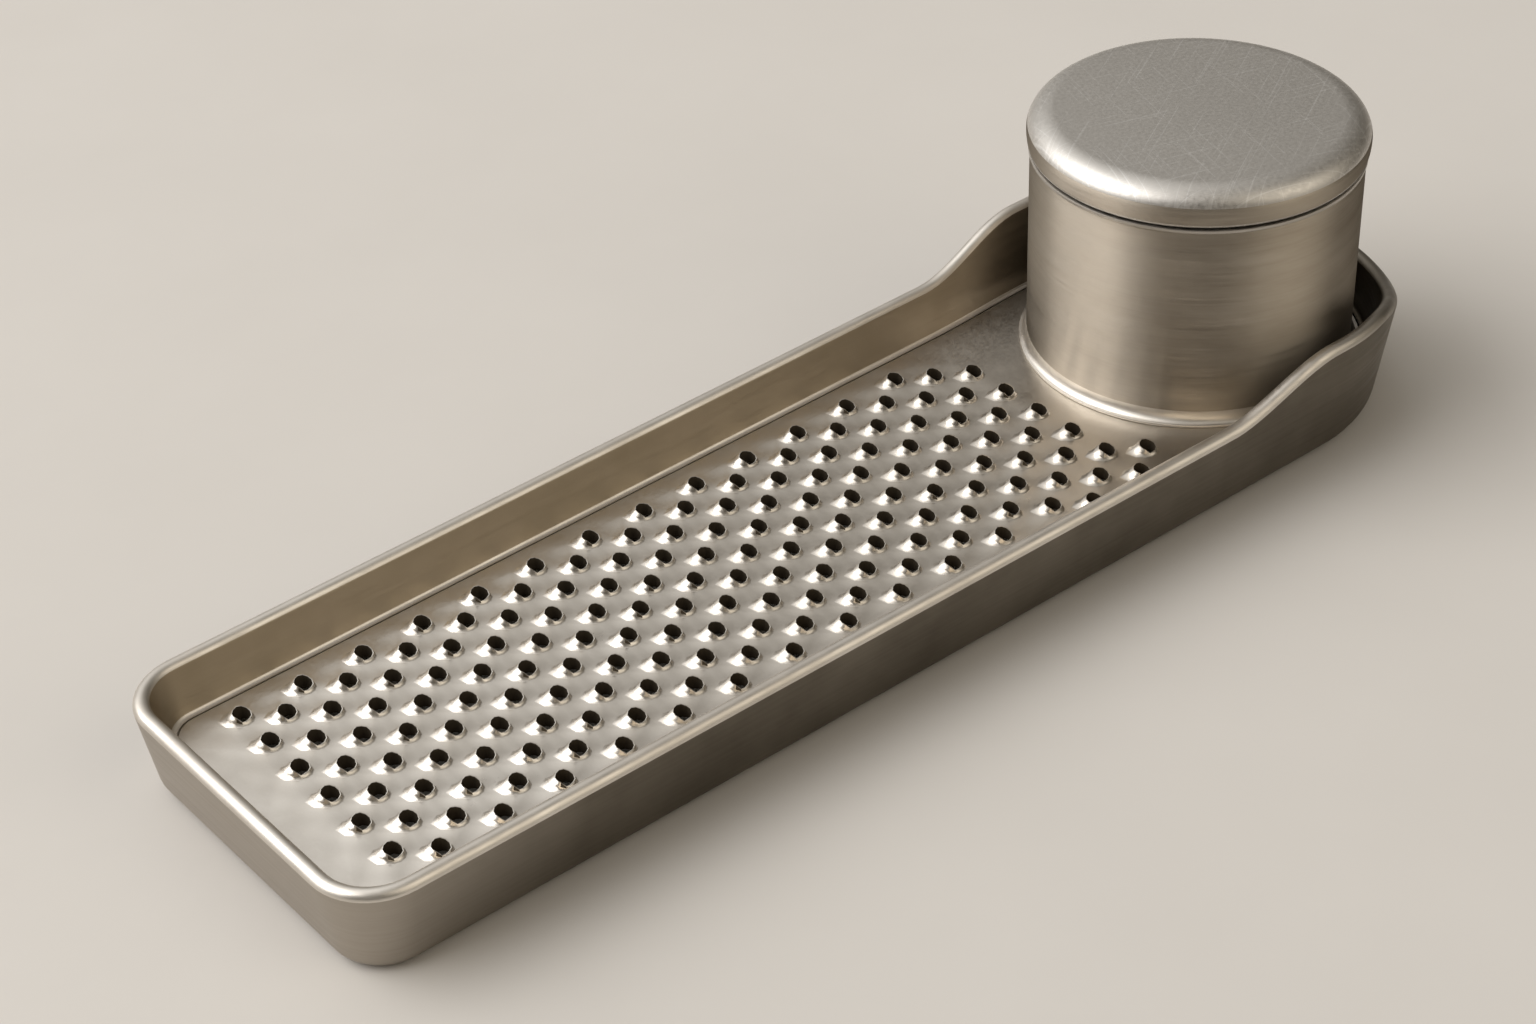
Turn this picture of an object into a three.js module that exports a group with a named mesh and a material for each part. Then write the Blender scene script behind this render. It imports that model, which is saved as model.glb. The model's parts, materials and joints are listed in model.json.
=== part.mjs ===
// A flat nutmeg grater: a pressed tray, a plate of punched teeth and a lidded canister for whole nutmegs.
// Millimetres, +Z up. The tray stands on z = 0, its length lies along X and the canister is at the +X end.

import * as THREE from "three";

// Driving dimensions of the canister

const CANISTER_RADIUS = 17.6;
const CANISTER_SHEET = 0.5;
const CANISTER_HEIGHT = 23.2;
const FOOT_FLARE = 0.8;
const FOOT_HEIGHT = 1.6;
const FOOT_EDGE = 0.3;
const FLOOR_SHEET = 0.5;

// Driving dimensions of the canister's neck

const NECK_SHEET = 0.5;
const NECK_DEPTH = 5.2;
const NECK_HEIGHT = 2.8;
const NECK_FLANGE = 0.4;
const NECK_FLANGE_PROUD = 0.15;

// Driving dimensions of the lid

const LID_OVERHANG = 0.4;
const LID_SHEET = 0.5;
const LID_HEIGHT = 4.0;
const LID_EDGE_ROUND = 2.9;
const LID_EDGE_DEPTH = 3.1;
const LID_SKIRT_CURL = 0.3;
const COLLAR_SHEET = 0.4;
const COLLAR_HEIGHT = 2.2;
const SEAL_WIDTH = 0.9;
const SEAL_HEIGHT = 0.8;

// Driving dimensions of the tray

const TRAY_SHEET = 0.5;
const FRONT_REACH = 121.8;
const SIDE_TAPER = 1.2;
const CORNER_RADIUS = 5.7;
const RIM_HEIGHT = 9.6;
const BEAD_RADIUS = 0.62;
const WALL_LEAN = 8.5;
const WALL_DRAWN_IN = 0.55;
const BAND_BEND = 0.75;
const BAND_WIDTH = 0.67;
const FOOT_BEND = 1.8;
const FLANGE_WIDTH = 2.0;

// Driving dimensions of the rim's rise beside the canister

const RIM_RISE = 4.15;
const RAMP_LENGTH = 14.5;
const FAR_RAMP_START = -20.5;
const NEAR_RAMP_START = -16;
const CREST_END = 5;

// Driving dimensions of the plate and of what it lies on

const PLATE_SHEET = 0.5;
const PLATE_TOP = 5.2;
const BEARER_SHEET = 0.3;
const LEDGE_WIDTH = 0.9;

// Driving dimensions of the teeth

const TOOTH_PITCH = 6.85;
const ROW_PITCH = 2.52;
const TOOTH_ROWS = 12;
const FIRST_TOOTH_FROM_FRONT = 8.7;
const TOOTH_CLEAR_OF_FOOT = 5.6;
const FAR_ROW_CLEAR_OF_FOOT = 6.6;
const TOOTH_CLEAR_OF_EDGE = 0.1;
const LAST_COLUMNS_REACH = 26;
const LAST_COLUMNS_DRIFT = 1.1;
const TOOTH_HEIGHT = 1.0;
const TOOTH_BASE_RADIUS = 1.45;
const TOOTH_MOUTH_RADIUS = 0.62;
const TOOTH_THROAT_RADIUS = 1.0;
const TOOTH_LEAN = 0.3;
const TOOTH_TILT = 0.28;

// Driving dimensions of the rivets

const RIVET_COUNT = 3;
const RIVET_CIRCLE = 9;
const RIVET_SHANK_RADIUS = 1.0;
const RIVET_HEAD_RADIUS = 2.1;
const RIVET_HEAD_HEIGHT = 0.8;
const RIVET_TAIL_RADIUS = 1.8;
const RIVET_TAIL_HEIGHT = 0.6;

// Clearances

const SLIP_GAP = 0.3;
const SEAL_GAP = 0.15;
const SEAM_GAP = 0.2;
const FOOT_GAP = 0.4;

// Fineness of the round shapes

const ROUND_SEGMENTS = 36;
const RIVET_SEGMENTS = 12;
const TOOTH_SIDES = 5;
const END_SEGMENTS = 24;
const CORNER_SEGMENTS = 5;
const RAMP_SEGMENTS = 8;
const BEAD_SEGMENTS = 8;
const BEND_SEGMENTS = 3;
const EDGE_SEGMENTS = 6;

// The tray is one folded sheet. In section, u runs outwards from the centre of the rim's bead. The outer
// wall leans out from the flange to the bead, and the inner wall goes down to a band beside the plate.

const lean = THREE.MathUtils.degToRad(WALL_LEAN);
const leanSlope = Math.tan(lean);

function outerWall(z) {
  const startU = BEAD_RADIUS * Math.cos(lean);
  const startZ = RIM_HEIGHT - BEAD_RADIUS * Math.sin(lean);
  return startU + leanSlope * (z - startZ);
}

const floorMiddle = TRAY_SHEET / 2;
const bendZ = floorMiddle + FOOT_BEND;
const bendU = outerWall(bendZ) - FOOT_BEND / Math.cos(lean);

// Beside the canister the two walls are parallel. Elsewhere the inner wall's foot is drawn in.

const plateUnderside = PLATE_TOP - PLATE_SHEET;
const bandZ = plateUnderside + TRAY_SHEET / 2;
const canisterWallFoot = outerWall(bandZ) - (2 * BEAD_RADIUS) / Math.cos(lean);
const canisterPlateEdge = canisterWallFoot - BAND_WIDTH - SEAM_GAP;

function wallFoot(s) {
  const steep = THREE.MathUtils.smoothstep(s.x, s.rampStart, s.rampStart + RAMP_LENGTH);
  return canisterWallFoot - WALL_DRAWN_IN * (1 - steep);
}

function plateEdge(s) {
  return wallFoot(s) - BAND_WIDTH - SEAM_GAP;
}

// Plan of the tray: a round end about the canister's axis, tapered sides and a front with round corners

const footRadius = CANISTER_RADIUS + FOOT_FLARE;
const endRadius = footRadius + FOOT_GAP - canisterPlateEdge;
const frontHalfWidth = endRadius - SIDE_TAPER;
const frontDiagonal = Math.hypot(FRONT_REACH, frontHalfWidth);
const sideAngle = Math.asin(endRadius / frontDiagonal) - Math.atan2(frontHalfWidth, FRONT_REACH);
const endSweep = Math.PI / 2 + sideAngle;
const cornerX = -(FRONT_REACH - CORNER_RADIUS);
const cornerY = (endRadius - CORNER_RADIUS + cornerX * Math.sin(sideAngle)) / Math.cos(sideAngle);

function station(x, y, normalAngle, rampStart) {
  return { x, y, nx: Math.cos(normalAngle), ny: Math.sin(normalAngle), rampStart };
}

function arcStations(cx, cy, radius, from, to, segments, rampStart) {
  const list = [];
  for (let i = 0; i <= segments; i += 1) {
    const angle = from + ((to - from) * i) / segments;
    list.push(station(cx + radius * Math.cos(angle), cy + radius * Math.sin(angle), angle, rampStart));
  }
  return list;
}

// Places along the ramp, as far as the straight side goes
function rampStations(side, rampStart) {
  const normalAngle = side * endSweep;
  const sideEndX = endRadius * Math.cos(endSweep);
  const list = [];
  for (let i = 0; i <= RAMP_SEGMENTS; i += 1) {
    const x = rampStart + (RAMP_LENGTH * i) / RAMP_SEGMENTS;
    const y = side * ((endRadius + x * Math.sin(sideAngle)) / Math.cos(sideAngle));
    if (x < sideEndX) {
      list.push(station(x, y, normalAngle, rampStart));
    }
  }
  return list;
}

function planStations() {
  const half = (list) => list.filter((s) => s.y >= 0).map((s) => ({ ...s, rampStart: FAR_RAMP_START }));
  const end = arcStations(0, 0, endRadius, -endSweep, endSweep, END_SEGMENTS, NEAR_RAMP_START);
  const nearEnd = end.filter((s) => s.y < 0);
  const farCorner = arcStations(
    cornerX, cornerY, CORNER_RADIUS, endSweep, Math.PI, CORNER_SEGMENTS, FAR_RAMP_START);
  const nearCorner = arcStations(
    cornerX, -cornerY, CORNER_RADIUS, -Math.PI, -endSweep, CORNER_SEGMENTS, NEAR_RAMP_START);
  const farRamp = rampStations(1, FAR_RAMP_START).reverse();
  const nearRamp = rampStations(-1, NEAR_RAMP_START);
  return [...nearEnd, ...half(end), ...farRamp, ...farCorner, ...nearCorner, ...nearRamp];
}

// Height of the bead's centre: a smooth ramp up beside the canister, a level crest and a fall to the end

function rimHeight(x, rampStart) {
  const rise = THREE.MathUtils.smoothstep(x, rampStart, rampStart + RAMP_LENGTH);
  const fall = THREE.MathUtils.smoothstep(x, CREST_END, endRadius);
  return RIM_HEIGHT + RIM_RISE * rise * (1 - fall);
}

// Helpers for closed shapes

function bodyFromIndexed(positions, indices) {
  const geometry = new THREE.BufferGeometry();
  geometry.setAttribute("position", new THREE.Float32BufferAttribute(positions, 3));
  geometry.setIndex(indices);
  return geometry;
}

// Gives a bent strip its thickness: an open line of [u, z] points becomes a closed, mitred outline.
function thicken(line, thickness) {
  const left = [];
  const right = [];
  for (let i = 0; i < line.length; i += 1) {
    const before = line[Math.max(i - 1, 0)];
    const here = line[i];
    const after = line[Math.min(i + 1, line.length - 1)];
    const back = i > 0 ? Math.atan2(here[1] - before[1], here[0] - before[0]) : null;
    const ahead = i < line.length - 1 ? Math.atan2(after[1] - here[1], after[0] - here[0]) : null;
    const a = back === null ? ahead : back;
    const b = ahead === null ? back : ahead;
    const turn = Math.atan2(Math.sin(b - a), Math.cos(b - a));
    const normal = a + turn / 2 + Math.PI / 2;
    const reach = thickness / 2 / Math.cos(turn / 2);
    left.push([here[0] + reach * Math.cos(normal), here[1] + reach * Math.sin(normal)]);
    right.push([here[0] - reach * Math.cos(normal), here[1] - reach * Math.sin(normal)]);
  }
  return [...right, ...left.reverse()];
}

// Sweeps a closed section round a closed plan. sectionAt gives the [u, z] outline at a station.
function sweepRound(stations, sectionAt) {
  const positions = [];
  const indices = [];
  const count = sectionAt(stations[0]).length;
  for (const s of stations) {
    for (const [u, z] of sectionAt(s)) {
      positions.push(s.x + u * s.nx, s.y + u * s.ny, z);
    }
  }
  for (let i = 0; i < stations.length; i += 1) {
    const next = (i + 1) % stations.length;
    for (let k = 0; k < count; k += 1) {
      const across = (k + 1) % count;
      const a = i * count + k;
      const b = next * count + k;
      const c = next * count + across;
      const d = i * count + across;
      indices.push(a, b, c, a, c, d);
    }
  }
  return bodyFromIndexed(positions, indices);
}

// Turns a closed [radius, z] outline, listed anticlockwise, about the canister's axis.
function ring(outline, segments = ROUND_SEGMENTS) {
  const points = [...outline, outline[0]].map(([r, z]) => new THREE.Vector2(r, z));
  return new THREE.LatheGeometry(points, segments).rotateX(Math.PI / 2);
}

// Turns an open [radius, z] line that starts and ends on the axis, from the lowest point to the highest.
function turned(line, segments = ROUND_SEGMENTS) {
  const points = line.map(([r, z]) => new THREE.Vector2(r, z));
  return new THREE.LatheGeometry(points, segments).rotateX(Math.PI / 2);
}

function arcLine(cu, cz, radiusU, radiusZ, from, to, segments) {
  const list = [];
  for (let i = 0; i <= segments; i += 1) {
    const angle = THREE.MathUtils.degToRad(from + ((to - from) * i) / segments);
    list.push([cu + radiusU * Math.cos(angle), cz + radiusZ * Math.sin(angle)]);
  }
  return list;
}

// Tray shell: flange, bend, outer wall, rolled bead, inner wall and band, at the rim height of each station

function traySection(s) {
  const rise = rimHeight(s.x, s.rampStart) - RIM_HEIGHT;
  const beadU = leanSlope * rise;
  const beadZ = RIM_HEIGHT + rise;
  const footU = wallFoot(s);
  const toBead = Math.hypot(beadU - footU, beadZ - bandZ);
  const innerLean = Math.atan2(beadU - footU, beadZ - bandZ) - Math.asin(BEAD_RADIUS / toBead);
  const innerLeanDegrees = THREE.MathUtils.radToDeg(innerLean);
  const bandBendU = footU - BAND_BEND * Math.tan(Math.PI / 4 - innerLean / 2);
  const bandBendZ = bandZ + BAND_BEND;
  return thicken([
    [bendU - FLANGE_WIDTH, floorMiddle],
    ...arcLine(bendU, bendZ, FOOT_BEND, FOOT_BEND, -90, -WALL_LEAN, BEND_SEGMENTS),
    ...arcLine(beadU, beadZ, BEAD_RADIUS, BEAD_RADIUS, -WALL_LEAN, 180 - innerLeanDegrees, BEAD_SEGMENTS),
    ...arcLine(bandBendU, bandBendZ, BAND_BEND, BAND_BEND, -innerLeanDegrees, -90, BEND_SEGMENTS),
    [footU - BAND_WIDTH, bandZ],
  ], TRAY_SHEET);
}

// Plate bearer: a ledge under the plate's edge, and a leg that stands on the tray's flange

function bearerSection(s) {
  const half = BEARER_SHEET / 2;
  const ledgeZ = plateUnderside - half;
  const legU = bendU - BEARER_SHEET;
  const ledgeInside = plateEdge(s) - LEDGE_WIDTH;
  return thicken([[ledgeInside, ledgeZ], [legU, ledgeZ], [legU, TRAY_SHEET]], BEARER_SHEET);
}

// Grater plate: a flat sheet with the tray's plan, rows of raised open teeth and the rivets' holes

function rivetPlaces() {
  const list = [];
  for (let i = 0; i < RIVET_COUNT; i += 1) {
    const angle = (2 * Math.PI * i) / RIVET_COUNT;
    list.push([RIVET_CIRCLE * Math.cos(angle), RIVET_CIRCLE * Math.sin(angle)]);
  }
  return list;
}

// The rows fill the plate's width. The far row ends one tooth early, the near row only has room beside the
// canister, and the last columns drift a little towards the far wall and the canister.
function toothPlaces() {
  const list = [];
  const firstX = -(FRONT_REACH - FIRST_TOOTH_FROM_FRONT);
  const columns = Math.ceil(FRONT_REACH / (TOOTH_PITCH / 2));
  for (let column = 0; column < columns; column += 1) {
    const x = firstX + (column * TOOTH_PITCH) / 2;
    const lastColumns = THREE.MathUtils.smoothstep(x, -footRadius - LAST_COLUMNS_REACH, -footRadius);
    const drift = LAST_COLUMNS_DRIFT * lastColumns;
    for (let row = column % 2; row <= TOOTH_ROWS; row += 2) {
      const y = ((TOOTH_ROWS - 1) / 2 - row) * ROW_PITCH;
      const clearOfFoot = x < 0 && Math.hypot(x, y) > footRadius + TOOTH_CLEAR_OF_FOOT;
      const clearOfEdge = Math.abs(y) + TOOTH_BASE_RADIUS + TOOTH_CLEAR_OF_EDGE < plateHalfWidth(x, y);
      const pastFarRow = row === 0 && x > -(footRadius + FAR_ROW_CLEAR_OF_FOOT);
      if (clearOfFoot && clearOfEdge && !pastFarRow) {
        list.push([x + drift, y + drift]);
      }
    }
  }
  return list;
}

function plateHalfWidth(x, y) {
  const rampStart = y < 0 ? NEAR_RAMP_START : FAR_RAMP_START;
  return (endRadius + x * Math.sin(sideAngle)) / Math.cos(sideAngle) + plateEdge({ x, rampStart });
}

function polygon(cx, cy, radius, sides) {
  const list = [];
  for (let i = 0; i < sides; i += 1) {
    const angle = (2 * Math.PI * i) / sides;
    list.push(new THREE.Vector2(cx + radius * Math.cos(angle), cy + radius * Math.sin(angle)));
  }
  return list;
}

function plateGeometry() {
  const atEdge = (s) => new THREE.Vector2(s.x + plateEdge(s) * s.nx, s.y + plateEdge(s) * s.ny);
  const outline = planStations().map(atEdge);
  const teeth = toothPlaces();
  const rivets = rivetPlaces();
  const rivetHole = RIVET_SHANK_RADIUS + SLIP_GAP;
  const rivetHoles = rivets.map(([x, y]) => polygon(x, y, rivetHole, RIVET_SEGMENTS));
  const above = [...teeth.map(([x, y]) => polygon(x, y, TOOTH_BASE_RADIUS, TOOTH_SIDES)), ...rivetHoles];
  const below = [...teeth.map(([x, y]) => polygon(x, y, TOOTH_THROAT_RADIUS, TOOTH_SIDES)), ...rivetHoles];
  const positions = [];
  const indices = [];

  function addRing(points, heightOf) {
    const start = positions.length / 3;
    points.forEach((p) => positions.push(p.x, p.y, heightOf(p)));
    return start;
  }

  function addFace(holes, z, up) {
    const rings = [outline, ...holes];
    const starts = rings.map((points) => addRing(points, () => z));
    const numbers = rings.flatMap((points, r) => points.map((p, i) => starts[r] + i));
    for (const [a, b, c] of THREE.ShapeUtils.triangulateShape(outline, holes)) {
      const face = up ? [a, b, c] : [a, c, b];
      indices.push(...face.map((i) => numbers[i]));
    }
    return starts;
  }

  // Joins two rings of one count. Seen from outside the sheet's material, the first ring is the lower one.
  function addBand(first, second, count) {
    for (let i = 0; i < count; i += 1) {
      const next = (i + 1) % count;
      indices.push(first + i, first + next, second + next, first + i, second + next, second + i);
    }
  }

  const tops = addFace(above, PLATE_TOP, true);
  const bottoms = addFace(below, plateUnderside, false);
  addBand(bottoms[0], tops[0], outline.length);
  teeth.forEach(([x, y], i) => {
    const mouthX = x + TOOTH_LEAN;
    const mouth = polygon(mouthX, y, TOOTH_MOUTH_RADIUS, TOOTH_SIDES);
    const dropAt = (p) => TOOTH_TILT * (1 + (p.x - mouthX) / TOOTH_MOUTH_RADIUS);
    const tipHeight = (p) => PLATE_TOP + TOOTH_HEIGHT - dropAt(p);
    const lip = addRing(mouth, tipHeight);
    addBand(tops[i + 1], lip, TOOTH_SIDES);
    addBand(lip, bottoms[i + 1], TOOTH_SIDES);
  });
  rivets.forEach((place, i) => {
    const hole = teeth.length + 1 + i;
    addBand(tops[hole], bottoms[hole], RIVET_SEGMENTS);
  });
  return bodyFromIndexed(positions, indices);
}

// Canister wall: a tube with a small flared foot that stands on the plate

const canisterTop = PLATE_TOP + CANISTER_HEIGHT;
const canisterInside = CANISTER_RADIUS - CANISTER_SHEET;

function canisterWall() {
  const flareZ = PLATE_TOP + FOOT_HEIGHT;
  const flare = arcLine(footRadius, flareZ, -FOOT_FLARE, -(FOOT_HEIGHT - FOOT_EDGE), 90, 0, EDGE_SEGMENTS);
  return ring([
    [canisterInside, PLATE_TOP],
    [footRadius, PLATE_TOP],
    ...flare,
    [CANISTER_RADIUS, canisterTop],
    [canisterInside, canisterTop],
  ]);
}

// Canister floor: a flat disc on the plate, with the rivets' holes

const floorTop = PLATE_TOP + FLOOR_SHEET;

function canisterFloor() {
  const disc = new THREE.Shape(polygon(0, 0, canisterInside - SLIP_GAP, ROUND_SEGMENTS));
  const rivetHole = RIVET_SHANK_RADIUS + SLIP_GAP;
  disc.holes = rivetPlaces().map(([x, y]) => new THREE.Path(polygon(x, y, rivetHole, RIVET_SEGMENTS)));
  const geometry = new THREE.ExtrudeGeometry(disc, { depth: FLOOR_SHEET, bevelEnabled: false });
  return geometry.translate(0, 0, PLATE_TOP);
}

// Rivet: a formed tail under the plate, a shank and a low round head on the floor

function rivet() {
  const head = arcLine(0, floorTop, RIVET_HEAD_RADIUS, RIVET_HEAD_HEIGHT, 0, 90, 3);
  head[head.length - 1][0] = 0;
  return turned([
    [0, plateUnderside - RIVET_TAIL_HEIGHT],
    [RIVET_TAIL_RADIUS, plateUnderside - RIVET_TAIL_HEIGHT],
    [RIVET_TAIL_RADIUS, plateUnderside],
    [RIVET_SHANK_RADIUS, plateUnderside],
    [RIVET_SHANK_RADIUS, floorTop],
    ...head,
  ], RIVET_SEGMENTS);
}

// Neck ring: a sleeve inside the wall, a thin flange on the wall's edge and a narrower spigot under the lid

const flangeTop = canisterTop + NECK_FLANGE;
const neckTop = flangeTop + NECK_HEIGHT;
const sleeveRadius = canisterInside - SLIP_GAP;
const lidRadius = CANISTER_RADIUS + LID_OVERHANG;
const lidInside = lidRadius - LID_SHEET;
const collarRadius = lidInside - SLIP_GAP;
const neckRadius = collarRadius - COLLAR_SHEET - SLIP_GAP - SEAL_WIDTH - SLIP_GAP;

function neckRing() {
  const flangeRadius = CANISTER_RADIUS + NECK_FLANGE_PROUD;
  const sleeveInside = sleeveRadius - NECK_SHEET;
  const stepZ = canisterTop - NECK_SHEET;
  return ring([
    [sleeveInside, canisterTop - NECK_DEPTH],
    [sleeveRadius, canisterTop - NECK_DEPTH],
    [sleeveRadius, canisterTop],
    [flangeRadius, canisterTop],
    [flangeRadius, flangeTop],
    [neckRadius, flangeTop],
    [neckRadius, neckTop],
    [neckRadius - NECK_SHEET, neckTop],
    [neckRadius - NECK_SHEET, stepZ],
    [sleeveInside, stepZ],
  ]);
}

// Lid shell: a drawn cap with a curled skirt edge, a rounded shoulder and a flat top

const lidBottom = flangeTop + SLIP_GAP;
const lidTop = lidBottom + LID_HEIGHT;
const lidFlatRadius = lidRadius - LID_EDGE_ROUND;
const shoulderZ = lidTop - LID_EDGE_DEPTH;

function lidShell() {
  const edge = arcLine(lidFlatRadius, shoulderZ, LID_EDGE_ROUND, LID_EDGE_DEPTH, 0, 90, EDGE_SEGMENTS);
  const innerRound = LID_EDGE_ROUND - LID_SHEET;
  const innerDepth = LID_EDGE_DEPTH - LID_SHEET;
  const innerEdge = arcLine(lidFlatRadius, shoulderZ, innerRound, innerDepth, 90, 0, EDGE_SEGMENTS);
  const skirtZ = lidBottom + LID_SKIRT_CURL;
  return turned([
    [0, lidTop - LID_SHEET],
    ...innerEdge,
    [lidInside, lidBottom + SLIP_GAP],
    [lidInside, lidBottom],
    [lidRadius - LID_SKIRT_CURL, lidBottom],
    [lidRadius, skirtZ],
    ...edge,
    [0, lidTop],
  ]);
}

// Lid collar: a ring inside the lid's skirt with a groove that opens inwards for the seal

const collarBottom = lidBottom + SLIP_GAP;
const collarTop = collarBottom + COLLAR_HEIGHT;
const grooveRadius = collarRadius - COLLAR_SHEET;
const collarInside = neckRadius + 2 * SLIP_GAP;

function lidCollar() {
  const topRadius = lidFlatRadius + LID_EDGE_ROUND / 2;
  return ring([
    [collarInside, collarBottom],
    [collarRadius, collarBottom],
    [collarRadius, collarTop - COLLAR_SHEET * 2],
    [topRadius, collarTop],
    [collarInside, collarTop],
    [collarInside, collarTop - COLLAR_SHEET],
    [topRadius - COLLAR_SHEET, collarTop - COLLAR_SHEET],
    [grooveRadius, collarTop - COLLAR_SHEET * 2],
    [grooveRadius, collarBottom + COLLAR_SHEET],
    [collarInside, collarBottom + COLLAR_SHEET],
  ]);
}

// Lid seal: a soft ring in the collar's groove, round the neck

function lidSeal() {
  const inside = neckRadius + SLIP_GAP;
  const bottom = collarBottom + COLLAR_SHEET + SEAL_GAP;
  return ring([
    [inside, bottom],
    [inside + SEAL_WIDTH, bottom],
    [inside + SEAL_WIDTH, bottom + SEAL_HEIGHT],
    [inside, bottom + SEAL_HEIGHT],
  ]);
}

// Finishes

const satinSteel = new THREE.MeshStandardMaterial({ color: 0xb7aea2, roughness: 0.38, metalness: 1 });
const brushedSteel = new THREE.MeshStandardMaterial({ color: 0xb2a89b, roughness: 0.32, metalness: 1 });
const polishedSteel = new THREE.MeshStandardMaterial({ color: 0xc2bdb6, roughness: 0.24, metalness: 1 });
const plainSteel = new THREE.MeshStandardMaterial({ color: 0x9d968d, roughness: 0.45, metalness: 1 });
const softSeal = new THREE.MeshStandardMaterial({ color: 0xd8d4cc, roughness: 0.7, metalness: 0 });

// Assembly

const grater = new THREE.Group();

function add(name, geometry, material) {
  const mesh = new THREE.Mesh(geometry, material);
  mesh.name = name;
  grater.add(mesh);
  return mesh;
}

add("tray_shell", sweepRound(planStations(), traySection), satinSteel);
add("plate_bearer", sweepRound(planStations(), bearerSection), satinSteel);
add("grater_plate", plateGeometry(), satinSteel);
add("canister_wall", canisterWall(), brushedSteel);
add("canister_floor", canisterFloor(), plainSteel);
rivetPlaces().forEach(([x, y], i) => {
  add(`floor_rivet_${i + 1}`, rivet(), plainSteel).position.set(x, y, 0);
});
add("neck_ring", neckRing(), brushedSteel);
add("lid_seal", lidSeal(), softSeal);
add("lid_collar", lidCollar(), plainSteel);
add("lid_shell", lidShell(), polishedSteel);

// The origin is under the middle of the whole object's length.

const extent = new THREE.Box3().setFromObject(grater);
grater.position.x = -(extent.min.x + extent.max.x) / 2;

export default grater;
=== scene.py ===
import json
import math
import random

import bmesh
import bpy
from mathutils import Matrix, Vector

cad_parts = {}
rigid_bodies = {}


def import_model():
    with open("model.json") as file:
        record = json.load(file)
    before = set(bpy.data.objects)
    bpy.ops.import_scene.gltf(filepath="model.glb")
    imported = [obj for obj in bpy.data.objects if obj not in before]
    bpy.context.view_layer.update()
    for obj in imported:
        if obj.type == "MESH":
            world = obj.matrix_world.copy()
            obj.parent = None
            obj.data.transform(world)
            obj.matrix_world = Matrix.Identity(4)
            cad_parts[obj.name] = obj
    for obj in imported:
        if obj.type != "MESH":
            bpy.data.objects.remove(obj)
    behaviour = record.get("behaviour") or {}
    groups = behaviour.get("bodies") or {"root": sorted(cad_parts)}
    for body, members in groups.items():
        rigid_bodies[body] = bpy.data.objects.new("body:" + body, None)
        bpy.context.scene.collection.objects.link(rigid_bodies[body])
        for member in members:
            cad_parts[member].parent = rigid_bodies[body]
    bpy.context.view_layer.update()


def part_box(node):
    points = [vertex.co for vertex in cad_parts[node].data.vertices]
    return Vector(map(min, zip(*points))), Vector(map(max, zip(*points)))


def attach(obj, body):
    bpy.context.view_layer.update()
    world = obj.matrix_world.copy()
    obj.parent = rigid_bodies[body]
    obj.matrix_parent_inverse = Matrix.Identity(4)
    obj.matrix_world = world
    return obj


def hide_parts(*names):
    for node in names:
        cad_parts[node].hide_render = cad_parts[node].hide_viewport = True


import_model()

# Sizes are in millimetres. The canister's axis, the plate's level and the lid's height come from the frame.

MM = 0.001

wall_low, wall_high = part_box("canister_wall")
lid_low, lid_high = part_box("lid_shell")
AXIS_X = (wall_low.x + wall_high.x) / 2 / MM
PLATE_TOP = wall_low.z / MM
CANISTER_TOP = wall_high.z / MM
LID_BOTTOM = lid_low.z / MM
LID_TOP = lid_high.z / MM

# Canister

CANISTER_RADIUS = 17.6
CANISTER_SHEET = 0.5
CANISTER_EDGE = 0.08
FOOT_RADIUS = 18.4
FOOT_HEIGHT = 1.6
FOOT_EDGE = 0.3

# Neck: a sleeve in the canister's mouth, a flange on its edge and a spigot over it

NECK_SHEET = 0.5
NECK_EDGE = 0.1
SLEEVE_RADIUS = 16.8
SLEEVE_DEPTH = 5.2
NECK_FLANGE_RADIUS = 17.75
NECK_FLANGE_HEIGHT = 0.4
SPIGOT_RADIUS = 15.3
SPIGOT_HEIGHT = 3.2

# Floor of the canister, and the rivets through it

FLOOR_RADIUS = 16.8
FLOOR_SHEET = 0.42
FLOOR_STEP_HEIGHT = 0.5
FLOOR_STEP_TOP_RADIUS = 15.6
FLOOR_STEP_FOOT_RADIUS = 15.2
RIVETS = 3
RIVET_CIRCLE = 9
RIVET_HOLE_RADIUS = 1.3
RIVET_SHANK_RADIUS = 1.0
RIVET_HEAD_LEVEL = 0.5
RIVET_HEAD_RADIUS = 2.1
RIVET_HEAD_HEIGHT = 0.8
RIVET_FOOT_RADIUS = 1.8
RIVET_FOOT_HEIGHT = 0.6
RIVET_FOOT_EDGE = 0.2

# Lid, and the collar and the seal inside it

LID_RADIUS = 18.0
LID_SHEET = 0.5
SHOULDER_WIDTH = 3.0
SHOULDER_HEIGHT = 2.3
LID_TUCK = 0.4
LID_HEM = 0.1
COLLAR_SHEET = 0.4
COLLAR_INSET = 0.3
COLLAR_HEIGHT = 2.2
COLLAR_SLOPE = 0.8
COLLAR_RADIUS = 17.2
COLLAR_TOP_RADIUS = 16.55
COLLAR_MOUTH_RADIUS = 15.9
SEAL_INSET = 0.85
SEAL_HEIGHT = 0.8
SEAL_INNER_RADIUS = 15.6
SEAL_OUTER_RADIUS = 16.5
SEAL_EDGE = 0.22

# Plan of the tray, from the canister's axis

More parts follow.
